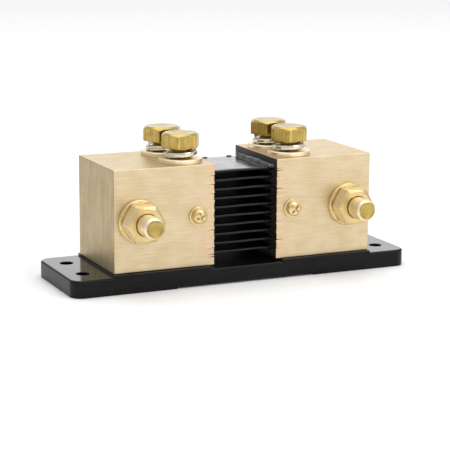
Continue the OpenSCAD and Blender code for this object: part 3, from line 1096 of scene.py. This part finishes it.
class SHUNT_OT_sense_screws(bpy.types.Operator):
    """Pan-head screws for the monitor's sense wires, with their washers"""
    bl_idname = "shunt.sense_screws"
    bl_label = "Sense screws"

    def execute(self, context):
        settings = context.scene.shunt_fastener
        stamped = material(stamped_brass, settings)
        shank = 1.5
        face = box_mm("left_block")[0].y
        seat = box_mm("left_sense_washer")[0].y
        low, high = box_mm("left_sense_screw")
        bm = sense_screw_shape(high.x - low.x, seat - low.y, shank, high.y - seat, settings.fine_pitch / MM)
        screw = to_mesh("sense_screw", bm, stamped)
        size = size_mm("left_sense_washer")
        bm = washer_shape(size.x / 2, shank + HOLE_PLAY, size.y, settings.edge / MM / 2)
        washer = to_mesh("sense_washer", bm, stamped)
        turns = {"left": 0.0, "right": 0.5}  # radians by which the recesses are turned
        for side in SIDES:
            x, _, z = centre_mm(f"{side}_sense_screw")
            turn = ON_FRONT.copy()
            turn.rotate_axis("Z", turns[side])
            for name, mesh, node, y, how in (
                ("pan_screw", screw, "sense_screw", seat, turn),
                ("pan_washer", washer, "sense_washer", face, ON_FRONT),
            ):
                place(f"{side}_{name}", mesh, f"{side}_{node}", "brass_hardware", (x, y, z), how)
        return {"FINISHED"}


class SHUNT_OT_stage(bpy.types.Operator):
    """Floor, lights and camera"""
    bl_idname = "shunt.stage"
    bl_label = "Stage"

    def execute(self, context):
        settings = context.scene.shunt_stage
        scene = context.scene
        scene.view_settings.view_transform = "Standard"
        half, thickness = 3.0, 0.01
        corners = ((half, half), (-half, half), (-half, -half), (half, -half))
        bm = skin([[(x, y, z) for x, y in corners] for z in (-thickness, 0)])
        mesh = bpy.data.meshes.new("floor")
        bm.to_mesh(mesh)
        bm.free()
        mesh.materials.append(material(white_card, settings))
        floor = bpy.data.objects.new("floor", mesh)
        scene.collection.objects.link(floor)
        surround(scene, settings)
        softbox(scene, "key_light", (0.55, -0.75, 0.85), 0.7, settings.key)
        softbox(scene, "front_light", (0.45, -1.0, 0.25), 0.8, settings.fill)
        softbox(scene, "overhead_light", (0, 0.2, 1.5), 1.6, settings.overhead)
        make_camera(scene, settings)
        return {"FINISHED"}


def surround(scene, settings):
    """A white studio round the object: brightest behind it and overhead, and dimmer on its left."""
    world = bpy.data.worlds.new("studio")
    world.use_nodes = True
    tree = world.node_tree
    sky = add_node(tree, "TexCoord").outputs["Generated"]
    even = 0.62
    layers = []
    # Each side is where it lies, the cosines between which it comes up, and what it adds there.
    for towards, start, full, change in (
        ((0.41, 0.91, 0.0), 0.75, 0.97, 0.6),
        ((-0.8, 0.6, 0.0), 0.3, 0.85, -0.12),
        ((0.0, 0.0, 1.0), 0.1, 0.9, 0.25),
    ):
        facing = add_node(tree, "VectorMath", {0: sky, 1: towards}, operation="DOT_PRODUCT")
        layers.append((facing.outputs["Value"], start, full, 0, change * settings.surround))
    level = add_node(tree, "Math", {0: even * settings.surround, 1: amount(tree, *layers)}, operation="ADD")
    background = tree.nodes["Background"]
    background.inputs["Color"].default_value = srgb("FFFFFF")
    tree.links.new(level.outputs[0], background.inputs["Strength"])
    scene.world = world


def softbox(scene, name, at, size, power):
    """A square area light that faces the object."""
    light = bpy.data.lights.new(name, "AREA")
    light.size = size
    light.energy = power
    holder = bpy.data.objects.new(name, light)
    scene.collection.objects.link(holder)
    holder.location = at
    aim = Vector((0, 0, 0.02))
    holder.rotation_euler = (aim - Vector(at)).to_track_quat("-Z", "Y").to_euler()


def make_camera(scene, settings):
    """The camera, at its distance and angles from the middle of the object."""
    camera = bpy.data.cameras.new("camera")
    camera.lens = settings.lens
    camera.sensor_width = 36
    holder = bpy.data.objects.new("camera", camera)
    scene.collection.objects.link(holder)
    turn, rise = settings.azimuth, settings.elevation
    back = Vector((math.sin(turn) * math.cos(rise), -math.cos(turn) * math.cos(rise), math.sin(rise)))
    middle = Vector((0, 0, settings.aim_height))
    holder.location = middle + back * settings.distance
    look = (-back).to_track_quat("-Z", "Y").to_matrix().to_4x4()
    holder.rotation_euler = (look @ Matrix.Rotation(settings.roll, 4, "Z")).to_euler()
    scene.camera = holder


OPERATORS = (
    SHUNT_OT_base,
    SHUNT_OT_base_screws,
    SHUNT_OT_blocks,
    SHUNT_OT_strips,
    SHUNT_OT_solder,
    SHUNT_OT_bolts,
    SHUNT_OT_bolt_washers,
    SHUNT_OT_studs,
    SHUNT_OT_sense_screws,
    SHUNT_OT_stage,
)


class SHUNT_PT_panel(bpy.types.Panel):
    """Settings and build steps of the shunt"""
    bl_idname = "SHUNT_PT_panel"
    bl_label = "Battery Monitor Shunt"
    bl_space_type = "VIEW_3D"
    bl_region_type = "UI"
    bl_category = "Shunt"

    def draw(self, context):
        for name in SETTINGS:
            column = self.layout.column()
            for setting in getattr(context.scene, name).__annotations__:
                column.prop(getattr(context.scene, name), setting)
        for operator in OPERATORS:
            self.layout.operator(operator.bl_idname)


def register():
    for cls in (*SETTINGS.values(), *OPERATORS, SHUNT_PT_panel):
        bpy.utils.register_class(cls)
    for name, cls in SETTINGS.items():
        setattr(bpy.types.Scene, name, PointerProperty(type=cls))


def unregister():
    for name in SETTINGS:
        delattr(bpy.types.Scene, name)
    for cls in reversed((*SETTINGS.values(), *OPERATORS, SHUNT_PT_panel)):
        bpy.utils.unregister_class(cls)


def main():
    register()
    for operator in OPERATORS:
        group, step = operator.bl_idname.split(".")
        getattr(getattr(bpy.ops, group), step)()


if __name__ == "__main__":
    main()
